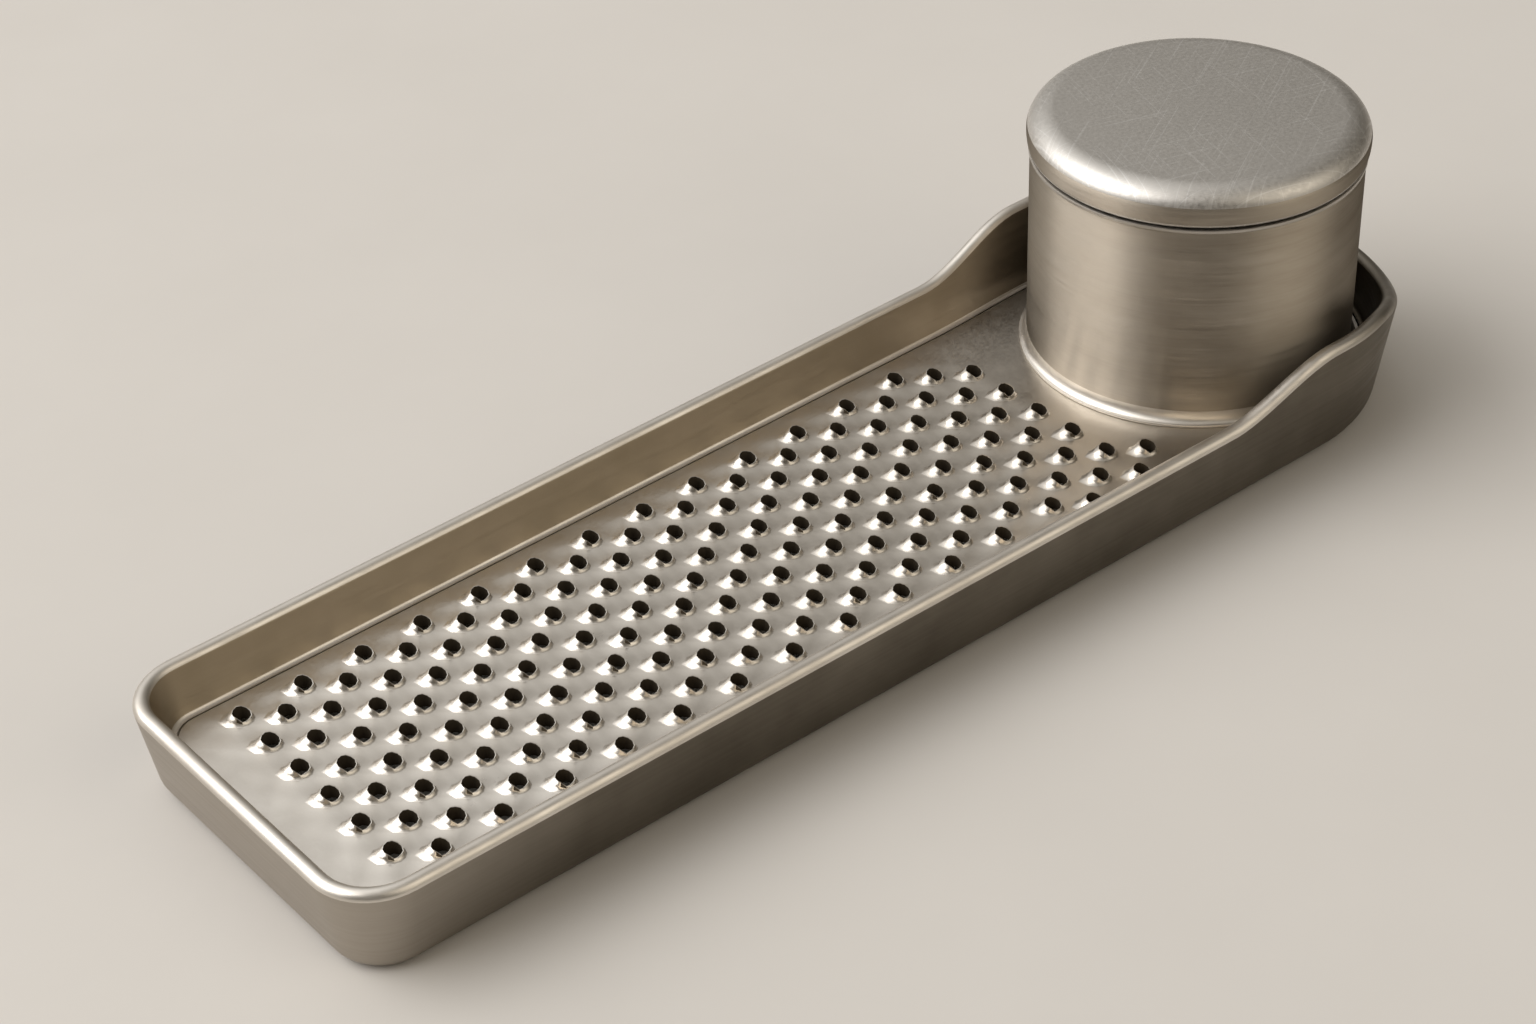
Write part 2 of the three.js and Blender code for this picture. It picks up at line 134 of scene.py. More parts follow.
END_RADIUS = 20.992
FRONT_REACH = 121.8
SIDE_TAPER = 1.2
FRONT_HALF_WIDTH = END_RADIUS - SIDE_TAPER
FRONT_DIAGONAL = math.hypot(FRONT_REACH, FRONT_HALF_WIDTH)
SIDE_ANGLE = math.asin(END_RADIUS / FRONT_DIAGONAL) - math.atan2(FRONT_HALF_WIDTH, FRONT_REACH)
END_SWEEP = math.pi / 2 + SIDE_ANGLE
CORNER_RADIUS = 5.7
CORNER_X = -(FRONT_REACH - CORNER_RADIUS)
CORNER_Y = (END_RADIUS - CORNER_RADIUS + CORNER_X * math.sin(SIDE_ANGLE)) / math.cos(SIDE_ANGLE)

# Section of the tray: u runs outwards from the middle of the rim's bead

TRAY_SHEET = 0.5
BEAD_RADIUS = 0.605
BEAD_HEIGHT = PLATE_TOP + 4.4
WALL_LEAN = 8.5
LEAN_SLOPE = math.tan(math.radians(WALL_LEAN))
BEND_RADIUS = 1.8
BEND_U = -2.337
FLANGE_WIDTH = 2.0
WALL_FOOT_U = -1.872
WALL_DRAWN_IN = 0.55
BAND_BEND = 0.75
BAND_WIDTH = 0.67
BAND_TOP = 1
INNER_FOOT_U = -1.2
BESIDE_PLATE = 0.6

# The rim's rise beside the canister, in x from the canister's axis

RIM_RISE = 4.15
RAMP_LENGTH = 14.5
FAR_RAMP_START = -20.5
NEAR_RAMP_START = -16
CREST_END = 5

# Plate, its bearer and its teeth

PLATE_SHEET = 0.5
PLATE_GAP = 0.2
PLATE_EDGE_U = WALL_FOOT_U - BAND_WIDTH - PLATE_GAP
BEARER_SHEET = 0.3
BEARER_CLEARANCE = 0.015
LEDGE_WIDTH = 0.9
TOOTH_PITCH = 6.85
ROW_PITCH = 2.52
TOOTH_ROWS = 12
FIRST_TOOTH_X = -113.1
TOOTH_CLEAR_RADIUS = 24.0
FAR_ROW_END_X = -25.0
TOOTH_CLEAR_OF_EDGE = 1.55
LAST_COLUMNS_START = -44.4
LAST_COLUMNS_DRIFT = 1.1

# One tooth: rings from the plate up to the lip, and where the torn lip and the foot leave the round. Angles run
# from the canister's side towards the far side.

DISH_RADIUS = 2.0
DISH_WIDTH = 0.14
TOOTH_FOOT = (1.5, 0.02)
TOOTH_FLANK = (1.2, 0.3)
LIP_RADIUS = 0.98
LIP_THICKNESS = 0.09
LIP_HEIGHT = 0.62
LIP_ROLL = 0.01
THROAT_RADIUS = 0.72
TOOTH_MIDDLE_X = 0.3
FLANK_SHARE = 0.42
FLANK_RISE = 0.5
FAR_LIFT, FAR_ANGLE = 0.33, 100
PEAK_LIFT, PEAK_ANGLE, PEAK_WIDTH = 0.34, 198, 24
NOTCH_DROP, NOTCH_ANGLE, NOTCH_WIDTH = 0.12, 246, 22
DRAWN_IN, DRAWN_ANGLE, DRAWN_WIDTH = 0.2, 272, 42
BASE_RADIUS = 1.12
TRAIL_LENGTH, TRAIL_ANGLE, TRAIL_WIDTH = 1.2, 146, 42
NOTCH_DRIFT = 9
TEAR = 0.05

# Fineness

END_STEPS = 40
RAMP_STEPS = 21
CORNER_STEPS = 12
ROUND_STEPS = 128
RIVET_STEPS = 32
BEND_STEPS = 8
BEAD_STEPS = 14
BAND_STEPS = 6
FLARE_STEPS = 10
SHOULDER_STEPS = 18
TUCK_STEPS = 10
HEAD_STEPS = 8
HOLE_SIDES = 24
TOOTH_SIDES = 12
TOOTH_KINDS = 4
SHARP_ANGLE = 35
FLAT_ANGLE = 30
TORN_ANGLE = 60
TOOTH_SEED = 7
MERGE_DISTANCE = 1e-6

# How near in millimetres a point is when it counts as being at a place, a ring, a station or a level

SAME_PLACE = 1e-4
AT_LEVEL = 1e-3
AT_RING_POINT = 0.01
AT_STATION = 0.05
SECTION_REACH = 5
RIM_SECTION_DEPTH = 1


# Drawing a piece in edit mode


def begin(name, place):
    """Starts a piece as one point: a small plane is merged to its middle and moved to its place."""
    bpy.ops.object.select_all(action="DESELECT")
    bpy.ops.mesh.primitive_plane_add(size=MM, enter_editmode=True, location=(0, 0, 0))
    piece = bpy.context.object
    piece.name = name
    piece.data.name = name
    bpy.ops.mesh.select_mode(type="VERT")
    bpy.ops.mesh.select_all(action="SELECT")
    bpy.ops.mesh.merge(type="CENTER")
    bpy.ops.mesh.select_all(action="SELECT")
    move(place)
    return piece


def move(step):
    bpy.ops.transform.translate(value=Vector(step) * MM)


def pull(step):
    bpy.ops.mesh.extrude_region_move(TRANSFORM_OT_translate={"value": Vector(step) * MM})


def draw(line):
    """Pulls the chosen point along a line of places."""
    for before, after in zip(line, line[1:]):
        pull(Vector(after) - Vector(before))


def spin(angle, centre, steps):
    """Spins what is chosen about an upright axis, anticlockwise as seen from above."""
    bpy.ops.mesh.spin(steps=steps, angle=-angle, center=Vector(centre) * MM, axis=(0, 0, 1))


def choose(piece, wanted):
    """Chooses the points whose place in millimetres the test says yes to."""
    bpy.ops.mesh.select_mode(type="VERT")
    bpy.ops.mesh.select_all(action="DESELECT")
    mesh = bmesh.from_edit_mesh(piece.data)
    for point in mesh.verts:
        if wanted(point.co / MM):
            point.select_set(True)
    mesh.select_flush_mode()
    bmesh.update_edit_mesh(piece.data)


def close_up():
    bpy.ops.mesh.select_all(action="SELECT")
    bpy.ops.mesh.remove_doubles(threshold=MERGE_DISTANCE)
    bpy.ops.mesh.normals_make_consistent(inside=False)


def leave_edit():
    bpy.ops.object.mode_set(mode="OBJECT")


def apply(piece, kind, **settings):
    bpy.context.view_layer.objects.active = piece
    modifier = piece.modifiers.new(kind.title(), kind)
    for setting, value in settings.items():
        setattr(modifier, setting, value)
    bpy.ops.object.modifier_apply(modifier=modifier.name)


def smooth(piece, angle=SHARP_ANGLE):
    bpy.ops.object.select_all(action="DESELECT")
    piece.select_set(True)
    bpy.context.view_layer.objects.active = piece
    bpy.ops.object.shade_smooth_by_angle(angle=math.radians(angle))


def soften(piece, width, segments=2):
    apply(piece, "BEVEL", width=width * MM, segments=segments, limit_method="ANGLE",
          angle_limit=math.radians(SHARP_ANGLE), harden_normals=False)


def arc(cu, cz, radius_u, radius_z, start, end, steps):
    """Places along an arc in a section, in degrees from the outward direction."""
    places = []
    for i in range(steps + 1):
        angle = math.radians(start + (end - start) * i / steps)
        places.append((cu + radius_u * math.cos(angle), cz + radius_z * math.sin(angle)))
    return places


# Round pieces


def turned(name, section, closed, axis=(AXIS_X, 0), steps=ROUND_STEPS):
    """Draws a section of (radius, height) beside an upright axis and spins it right round."""
    line = [(axis[0] + r, axis[1], z) for r, z in section]
    piece = begin(name, line[0])
    draw(line)
    if closed:
        ends = (Vector(line[0]), Vector(line[-1]))
        choose(piece, lambda p: min((p - end).length for end in ends) < SAME_PLACE)
        bpy.ops.mesh.edge_face_add()
    bpy.ops.mesh.select_all(action="SELECT")
    spin(math.tau, (axis[0], axis[1], 0), steps)
    close_up()
    leave_edit()
    return piece


# Pieces that follow the tray's plan


def side_place(x):
    """The middle of the bead on the far side, in the canister's frame."""
    return Vector((x, (END_RADIUS + x * math.sin(SIDE_ANGLE)) / math.cos(SIDE_ANGLE), 0))


def swept(name, section):
    """Draws a section of (u, height) at the round end, takes it round half of the plan and mirrors it."""
    line = [(AXIS_X + END_RADIUS + u, 0, z) for u, z in section]
    piece = begin(name, line[0])
    draw(line)
    bpy.ops.mesh.select_all(action="SELECT")
    spin(END_SWEEP, (AXIS_X, 0, 0), END_STEPS)
    side_start = Vector((END_RADIUS * math.cos(END_SWEEP), END_RADIUS * math.sin(END_SWEEP), 0))
    corner_start = Vector((CORNER_X + CORNER_RADIUS * math.cos(END_SWEEP),
                           CORNER_Y + CORNER_RADIUS * math.sin(END_SWEEP), 0))
    draw([side_start, *[side_place(x) for x in ramp_places()], corner_start])
    spin(math.pi - END_SWEEP, (AXIS_X + CORNER_X, CORNER_Y, 0), CORNER_STEPS)
    pull((0, -CORNER_Y, 0))
    leave_edit()
    apply(piece, "MIRROR", use_axis=(False, True, False), merge_threshold=MERGE_DISTANCE)
    bpy.ops.object.mode_set(mode="EDIT")
    close_up()
    return piece


def smoothstep(x, start, end):
    t = min(max((x - start) / (end - start), 0), 1)
    return t * t * (3 - 2 * t)


def rim_rise(x, start):
    rise = smoothstep(x, start, start + RAMP_LENGTH)
    fall = smoothstep(x, CREST_END, END_RADIUS)
    return RIM_RISE * rise * (1 - fall)


def ramp_places():
    first = FAR_RAMP_START
    return [first * (i + 1) / RAMP_STEPS for i in range(RAMP_STEPS)]


def rim_stations():
    """Where the raised rim's sections are: the place, the outward direction and the start of the ramp."""
    stations = []
    for side, start in ((1, FAR_RAMP_START), (-1, NEAR_RAMP_START)):
        for i in range(END_STEPS + 1):
            angle = END_SWEEP * i / END_STEPS
            if i == 0 and side == -1:
                continue
            out = Vector((math.cos(angle), side * math.sin(angle), 0))
            stations.append((out * END_RADIUS, out, start))
        out = Vector((math.cos(END_SWEEP), side * math.sin(END_SWEEP), 0))
        for x in ramp_places():
            place = side_place(x)
            stations.append((Vector((place.x, side * place.y, 0)), out, start))
    return stations


def choose_at(piece, place, out, wanted):
    """Chooses the points of one section of a swept piece whose (u, height) the test says yes to."""
    along = Vector((-out.y, out.x, 0))
    middle = Vector((AXIS_X + place.x, place.y, 0))

    def at_station(p):
        off = Vector((p.x - middle.x, p.y - middle.y, 0))
        u = off.dot(out)
        return abs(off.dot(along)) < AT_STATION and abs(u) < SECTION_REACH and wanted(u, p.z)

    choose(piece, at_station)


def raise_rim(tray):
    """Lifts the bead beside the canister, section by section, and leans it out with the wall."""
    for place, out, start in rim_stations():
        rise = rim_rise(place.x, start)
        if rise > 0:
            choose_at(tray, place, out, lambda u, z: z > BEAD_HEIGHT - RIM_SECTION_DEPTH)
            move(out * LEAN_SLOPE * rise + Vector((0, 0, rise)))


def let_out(piece, wanted):
    """Beside the canister, the foot of the inner wall and what follows it lie further out."""
    for place, out, start in rim_stations():
        steep = smoothstep(place.x, start, start + RAMP_LENGTH)
        if steep > 0:
            choose_at(piece, place, out, wanted)
            move(out * WALL_DRAWN_IN * steep)


def tray_section():
    """The folded sheet: flange, bend, outer wall, bead, inner wall and the band beside the plate."""
    middle = TRAY_SHEET / 2
    band_z = PLATE_TOP - middle
    to_bead = Vector((-WALL_FOOT_U, BEAD_HEIGHT - band_z))
    inner_lean = math.atan2(to_bead.x, to_bead.y) - math.asin(BEAD_RADIUS / to_bead.length)
    lean = math.degrees(inner_lean)
    band_bend_u = WALL_FOOT_U - BAND_BEND * math.tan(math.pi / 4 - inner_lean / 2)
    return [
        (BEND_U - FLANGE_WIDTH, middle),
        *arc(BEND_U, middle + BEND_RADIUS, BEND_RADIUS, BEND_RADIUS, -90, -WALL_LEAN, BEND_STEPS),
        *arc(0, BEAD_HEIGHT, BEAD_RADIUS, BEAD_RADIUS, -WALL_LEAN, 180 - lean, BEAD_STEPS),
        *arc(band_bend_u, band_z + BAND_BEND, BAND_BEND, BAND_BEND, -lean, -90, BAND_STEPS),
        (WALL_FOOT_U - BAND_WIDTH, band_z),
    ]


def make_tray():
    tray = swept("tray", tray_section())
    raise_rim(tray)
    let_out(tray, lambda u, z: u < INNER_FOOT_U and abs(z - PLATE_TOP) < BESIDE_PLATE)
    leave_edit()
    apply(tray, "SOLIDIFY", thickness=TRAY_SHEET * MM, offset=0, use_even_offset=True)
    smooth(tray)
    return tray


def make_bearer():
    ledge_z = PLATE_TOP - PLATE_SHEET - BEARER_SHEET / 2
    leg_u = BEND_U + BEARER_CLEARANCE - BEARER_SHEET
    section = [(PLATE_EDGE_U - LEDGE_WIDTH, ledge_z), (leg_u, ledge_z), (leg_u, TRAY_SHEET)]
    bearer = swept("plate_support", section)
    let_out(bearer, lambda u, z: u < leg_u - BEARER_SHEET)
    leave_edit()
    apply(bearer, "SOLIDIFY", thickness=BEARER_SHEET * MM, offset=0, use_even_offset=True)
    smooth(bearer)
    return bearer


# Grater plate


def plate_half_width(x):
    return side_place(x).y + PLATE_EDGE_U


def tooth_places():
    places = []
    column = 0
    x = FIRST_TOOTH_X
    while x < 0:
        drift = LAST_COLUMNS_DRIFT * smoothstep(x, LAST_COLUMNS_START, -FOOT_RADIUS)
        for row in range(column % 2, TOOTH_ROWS + 1, 2):
            y = ((TOOTH_ROWS - 1) / 2 - row) * ROW_PITCH
            clear_of_foot = math.hypot(x, y) > TOOTH_CLEAR_RADIUS
            clear_of_edge = abs(y) + TOOTH_CLEAR_OF_EDGE < plate_half_width(x)
            past_far_row = row == 0 and x > FAR_ROW_END_X
            if clear_of_foot and clear_of_edge and not past_far_row:
                places.append((x + drift, y + drift))
        column += 1
        x = FIRST_TOOTH_X + column * TOOTH_PITCH / 2
    return places


def turn_between(angle, middle):
    """The difference of two angles in degrees, from -180 to 180."""
    return (angle - middle + 180) % 360 - 180


def swell(angle, middle, width):
    return math.exp(-(turn_between(angle, middle) / width) ** 2)


def lip_height(angle, notch_angle):
    """The torn lip is high on the far side, peaks at the front and is low beyond the notch beside the peak."""
    far_side = FAR_LIFT * math.cos(math.radians(angle - FAR_ANGLE))
    peak = PEAK_LIFT * swell(angle, PEAK_ANGLE, PEAK_WIDTH)
    return LIP_HEIGHT + far_side + peak - NOTCH_DROP * swell(angle, notch_angle, NOTCH_WIDTH)


def lip_radius(angle):
    """The mouth is drawn in where the lip is low."""
    return LIP_RADIUS - DRAWN_IN * swell(angle, DRAWN_ANGLE, DRAWN_WIDTH)


def base_radius(angle):
    """The foot of a tooth trails out towards the front and is steep everywhere else."""
    return BASE_RADIUS + TRAIL_LENGTH * swell(angle, TRAIL_ANGLE, TRAIL_WIDTH)


def ring_point(radius, height, angle):
    return Vector((radius * math.cos(angle), radius * math.sin(angle), PLATE_TOP + height))


def make_tooth(draws):
    """One torn tooth: a circle in the plate is drawn up to a torn lip and back down its hole."""
    notch_angle = NOTCH_ANGLE + draws.uniform(-NOTCH_DRIFT, NOTCH_DRIFT)
    rings = (TOOTH_FOOT, TOOTH_FLANK, (LIP_RADIUS, LIP_HEIGHT), (LIP_RADIUS - LIP_THICKNESS, LIP_HEIGHT - LIP_ROLL),
             (THROAT_RADIUS, -PLATE_SHEET))
    bpy.ops.object.select_all(action="DESELECT")
    bpy.ops.mesh.primitive_circle_add(
        vertices=TOOTH_SIDES, radius=DISH_RADIUS * MM, fill_type="NOTHING",
        enter_editmode=True, location=(0, 0, 0))
    tooth = bpy.context.object
    tooth.name = "tooth"
    move((0, 0, PLATE_TOP))
    radius, height = DISH_RADIUS, 0
    for next_radius, next_height in rings:
        pull((0, 0, next_height - height))
        scale = next_radius / radius
        bpy.ops.transform.resize(value=(scale, scale, 1), center_override=(0, 0, PLATE_TOP * MM))
        radius, height = next_radius, next_height
    for i in range(TOOTH_SIDES):
        angle = math.tau * i / TOOTH_SIDES
        lip = lip_height(math.degrees(angle), notch_angle) + draws.uniform(-TEAR, TEAR)
        for ring, (radius, height) in enumerate(((DISH_RADIUS, 0), *rings[:4])):
            place = ring_point(radius, height, angle)
            choose(tooth, lambda p: (p - place).length < AT_RING_POINT)
            move(ring_shift(ring, radius, height, angle, lip))
    leave_edit()
    return tooth


def ring_shift(ring, radius, height, angle, lip):
    """How far a point of a tooth's ring moves from the round: dish, foot, flank, or one of the lip's two."""
    foot = base_radius(math.degrees(angle))
    mouth = lip_radius(math.degrees(angle))
    if ring == 0:
        wanted_radius, wanted_height = foot + DISH_WIDTH, height
    elif ring == 1:
        wanted_radius, wanted_height = foot, height
    elif ring == 2:
        wanted_radius, wanted_height = mouth + (foot - mouth) * FLANK_SHARE, lip * FLANK_RISE
    else:
        wanted_radius, wanted_height = radius + mouth - LIP_RADIUS, height + lip - LIP_HEIGHT
    out = Vector((math.cos(angle), math.sin(angle), 0))
    return out * (wanted_radius - radius) + Vector((0, 0, wanted_height - height))


def set_teeth(kinds, draws):
    """Sets a copy of one of the kinds at each place of the plate."""
    for x, y in tooth_places():
        tooth = draws.choice(kinds)
        bpy.ops.object.select_all(action="DESELECT")
        tooth.select_set(True)
        bpy.context.view_layer.objects.active = tooth
        bpy.ops.object.duplicate()
        copy = bpy.context.object
        copy.location = Vector((AXIS_X + x + TOOTH_MIDDLE_X, y, 0)) * MM
        copy.name = "set_tooth"


def set_rivet_holes():
    for number in range(1, RIVETS + 1):
        bpy.ops.object.select_all(action="DESELECT")
        bpy.ops.mesh.primitive_circle_add(
            vertices=HOLE_SIDES, radius=RIVET_HOLE_RADIUS * MM, enter_editmode=True, location=(0, 0, 0))
        move((*rivet_place(number), PLATE_TOP))
        pull((0, 0, -PLATE_SHEET))
        leave_edit()
        bpy.context.object.name = "set_rivet_hole"


def make_plate():
    """The plate's edge, its teeth and its rivet holes are joined, and its two faces are filled between them."""
    edge = [(PLATE_EDGE_U, PLATE_TOP), (PLATE_EDGE_U, PLATE_TOP - PLATE_SHEET)]
    plate = swept("toothed_plate", edge)
    let_out(plate, lambda u, z: True)
    leave_edit()
    draws = random.Random(TOOTH_SEED)
    kinds = [make_tooth(draws) for _ in range(TOOTH_KINDS)]
    set_teeth(kinds, draws)
    set_rivet_holes()
    for tooth in kinds:
        bpy.data.objects.remove(tooth)
    bpy.ops.object.select_all(action="DESELECT")
    for part in bpy.context.scene.objects:
        if part.name.startswith("set_"):
            part.select_set(True)
    plate.select_set(True)
    bpy.context.view_layer.objects.active = plate
    bpy.ops.object.join()
    bpy.ops.object.mode_set(mode="EDIT")
    for level in (PLATE_TOP, PLATE_TOP - PLATE_SHEET):
        choose_open_edges(plate, level)
        bpy.ops.mesh.fill(use_beauty=True)
    close_up()
    leave_edit()
    smooth(plate, TORN_ANGLE)
    return plate


def choose_open_edges(piece, level):
    """Chooses the edges at a level that have a face on one side only."""
    bpy.ops.mesh.select_mode(type="EDGE")
    bpy.ops.mesh.select_all(action="DESELECT")
    mesh = bmesh.from_edit_mesh(piece.data)
    for edge in mesh.edges:
        if len(edge.link_faces) == 1 and all(abs(v.co.z / MM - level) < AT_LEVEL for v in edge.verts):
            edge.select_set(True)
    bmesh.update_edit_mesh(piece.data)


# Canister and lid


def make_canister():
    flare_z = PLATE_TOP + FOOT_HEIGHT
    flare = arc(FOOT_RADIUS, flare_z, CANISTER_RADIUS - FOOT_RADIUS, FOOT_EDGE - FOOT_HEIGHT, 90, 0, FLARE_STEPS)
    inside = CANISTER_RADIUS - CANISTER_SHEET
    section = [(inside, PLATE_TOP), (FOOT_RADIUS, PLATE_TOP), *flare,
               (CANISTER_RADIUS, CANISTER_TOP), (inside, CANISTER_TOP)]
    wall = turned("canister_tube", section, True)
    soften(wall, CANISTER_EDGE)
    smooth(wall)
    return wall


def make_lid():
    """The drawn cap: a flat top, a wide round shoulder and a side that turns in to the joint."""
    flat = LID_RADIUS - SHOULDER_WIDTH
    z = LID_TOP - SHOULDER_HEIGHT
    outer = arc(flat, z, SHOULDER_WIDTH, SHOULDER_HEIGHT, 0, 90, SHOULDER_STEPS)
    inner = arc(flat, z, SHOULDER_WIDTH - LID_SHEET, SHOULDER_HEIGHT - LID_SHEET, 90, 0, SHOULDER_STEPS)
    side = arc(LID_RADIUS - LID_TUCK, z, LID_TUCK, z - LID_BOTTOM, -90, 0, TUCK_STEPS)[:-1]
    hem = (LID_RADIUS - LID_SHEET - LID_HEM, LID_BOTTOM)
    section = [(0, LID_TOP - LID_SHEET), *inner, hem, *side, *outer, (0, LID_TOP)]
    lid = turned("lid_cap", section, False)
    smooth(lid)
    return lid


def make_neck():
    top = CANISTER_TOP
    section = [
        (SLEEVE_RADIUS - NECK_SHEET, top - SLEEVE_DEPTH),
        (SLEEVE_RADIUS, top - SLEEVE_DEPTH),
        (SLEEVE_RADIUS, top),
        (NECK_FLANGE_RADIUS, top),
        (NECK_FLANGE_RADIUS, top + NECK_FLANGE_HEIGHT),
        (SPIGOT_RADIUS, top + NECK_FLANGE_HEIGHT),
        (SPIGOT_RADIUS, top + SPIGOT_HEIGHT),
        (SPIGOT_RADIUS - NECK_SHEET, top + SPIGOT_HEIGHT),
        (SPIGOT_RADIUS - NECK_SHEET, top - NECK_SHEET),
        (SLEEVE_RADIUS - NECK_SHEET, top - NECK_SHEET),
    ]
    neck = turned("neck_sleeve", section, True)
    soften(neck, NECK_EDGE)
    smooth(neck)
    return neck


def make_collar():
    """The ring inside the lid, with the groove that holds the seal."""
    low = LID_BOTTOM + COLLAR_INSET
    high = low + COLLAR_HEIGHT
    section = [
        (COLLAR_MOUTH_RADIUS, low),
        (COLLAR_RADIUS, low),
        (COLLAR_RADIUS, high - COLLAR_SLOPE),
        (COLLAR_TOP_RADIUS, high),
        (COLLAR_MOUTH_RADIUS, high),
        (COLLAR_MOUTH_RADIUS, high - COLLAR_SHEET),
        (COLLAR_TOP_RADIUS - COLLAR_SHEET, high - COLLAR_SHEET),
        (COLLAR_RADIUS - COLLAR_SHEET, high - COLLAR_SLOPE),
        (COLLAR_RADIUS - COLLAR_SHEET, low + COLLAR_SHEET),
        (COLLAR_MOUTH_RADIUS, low + COLLAR_SHEET),
    ]
    collar = turned("seal_collar", section, True)
    smooth(collar, FLAT_ANGLE)
    return collar


def make_seal():
    low = LID_BOTTOM + SEAL_INSET
    high = low + SEAL_HEIGHT
    section = [
        (SEAL_INNER_RADIUS, low),
        (SEAL_OUTER_RADIUS, low),
        (SEAL_OUTER_RADIUS, high),
        (SEAL_INNER_RADIUS, high),
    ]
    seal = turned("soft_seal_ring", section, True)
    soften(seal, SEAL_EDGE, segments=4)
    smooth(seal)
    return seal


def make_canister_floor():
    """A disc with a small step round its edge. The rivets pass through it."""
    section = [
        (0, PLATE_TOP),
        (FLOOR_RADIUS, PLATE_TOP),
        (FLOOR_RADIUS, PLATE_TOP + FLOOR_STEP_HEIGHT),
        (FLOOR_STEP_TOP_RADIUS, PLATE_TOP + FLOOR_STEP_HEIGHT),
        (FLOOR_STEP_FOOT_RADIUS, PLATE_TOP + FLOOR_SHEET),
        (0, PLATE_TOP + FLOOR_SHEET),
    ]
    disc = turned("canister_base", section, False)
    smooth(disc, FLAT_ANGLE)
    return disc


def rivet_place(number):
    """Where a rivet stands. They are numbered from 1."""
    angle = math.tau * (number - 1) / RIVETS
    return AXIS_X + RIVET_CIRCLE * math.cos(angle), RIVET_CIRCLE * math.sin(angle)


def make_rivet(number):
    under, over = PLATE_TOP - PLATE_SHEET, PLATE_TOP + RIVET_HEAD_LEVEL
    head = arc(0, over, RIVET_HEAD_RADIUS, RIVET_HEAD_HEIGHT, 0, 90, HEAD_STEPS)[:-1]
    section = [
        (0, under - RIVET_FOOT_HEIGHT),
        (RIVET_FOOT_RADIUS - RIVET_FOOT_EDGE, under - RIVET_FOOT_HEIGHT),
        (RIVET_FOOT_RADIUS, under - RIVET_FOOT_HEIGHT + RIVET_FOOT_EDGE),
        (RIVET_FOOT_RADIUS, under),
        (RIVET_SHANK_RADIUS, under),
        (RIVET_SHANK_RADIUS, over),
        *head,
        (0, over + RIVET_HEAD_HEIGHT),
    ]
    rivet = turned(f"rivet_{number}", section, False, rivet_place(number), RIVET_STEPS)
    smooth(rivet)
    return rivet


# Finishes

NOISE_LOW, NOISE_HIGH = 0.3, 0.7
GRAIN_GLOSS = 0.15
SCRATCH_STEEL = (0.88, 0.87, 0.85)
SCRATCH_SHARE = 0.3
SCRATCH_START, SCRATCH_END = 0.64, 0.71
ACROSS_TURN = 0.25
SWELL_START, SWELL_FULL = -4.5, -1.5
SWELL_FADE = 4
RUBBER_CLOUD = (700, 700, 700)
RUBBER_GRAIN = (9000, 9000, 9000)
RUBBER_ROUGHNESS = (0.55, 0.75)
# The painted shade inside the teeth: its cloud, gloss, metal and darkest share of colour
TORN_CLOUD = (2500, 2500, 2500)
TORN_ROUGHNESS = (0.45, 0.65)
TORN_METAL = 0.6
TOOTH_SHADE_DARKEST = 0.7
PLAIN_EDGE = 0.4

# How far a face's normal may lean: inside a tooth, on the lid's side, on the walls, and out from the middle line

TOOTH_LEAN = 0.35
LID_SIDE_LEAN = 0.3
OUTER_LEAN = 0.1
INNER_LEAN = 0.5
SIDEWAYS = 0.7


def material(name):
    made = bpy.data.materials.new(name)
    made.use_nodes = True
    return made, made.node_tree.nodes, made.node_tree.links


def scaled_place(nodes, links, scale, place=(0, 0, 0)):
    """Object coordinates from a place in millimetres, stretched for a pattern."""
    coordinates = nodes.new("ShaderNodeTexCoord")
    mapping = nodes.new("ShaderNodeMapping")
    mapping.inputs["Location"].default_value = [-p * MM * k for p, k in zip(place, scale)]
    mapping.inputs["Scale"].default_value = scale
    links.new(coordinates.outputs["Object"], mapping.inputs["Vector"])
    return mapping.outputs["Vector"]


def pattern(nodes, links, scale, detail=2, roughness=0.5):
    """Noise with so many grains to the metre along each axis."""
    noise = nodes.new("ShaderNodeTexNoise")
    noise.inputs["Scale"].default_value = 1
    noise.inputs["Detail"].default_value = detail
    noise.inputs["Roughness"].default_value = roughness
    links.new(scaled_place(nodes, links, scale), noise.inputs["Vector"])
    return noise.outputs["Fac"]


def spread(nodes, links, value, low, high, start=0.0, end=1.0):
    """Takes a value's range to another one."""
    ranged = nodes.new("ShaderNodeMapRange")
    ranged.inputs["From Min"].default_value = start
    ranged.inputs["From Max"].default_value = end
    ranged.inputs["To Min"].default_value = low
    ranged.inputs["To Max"].default_value = high
    links.new(value, ranged.inputs["Value"])
    return ranged.outputs["Result"]


def times(nodes, links, first, second):
    product = nodes.new("ShaderNodeMath")
    product.operation = "MULTIPLY"
    links.new(first, product.inputs[0])
    links.new(second, product.inputs[1])
    return product.outputs["Value"]


def tint(nodes, links, factor, dark, light):
    """A colour between two, by a factor."""
    mix = nodes.new("ShaderNodeMix")
    mix.data_type = "RGBA"
    links.new(factor, mix.inputs["Factor"])
    for socket, colour in (("A", dark), ("B", light)):
        if isinstance(colour, bpy.types.NodeSocket):
            links.new(colour, mix.inputs[socket])
        else:
            mix.inputs[socket].default_value = (*colour, 1)
    return mix.outputs["Result"]


def bump(nodes, links, height, distance, strength, below=None):
    made = nodes.new("ShaderNodeBump")
    made.inputs["Distance"].default_value = distance * MM
    made.inputs["Strength"].default_value = strength
    links.new(height, made.inputs["Height"])
    if below:
        links.new(below, made.inputs["Normal"])
    return made.outputs["Normal"]


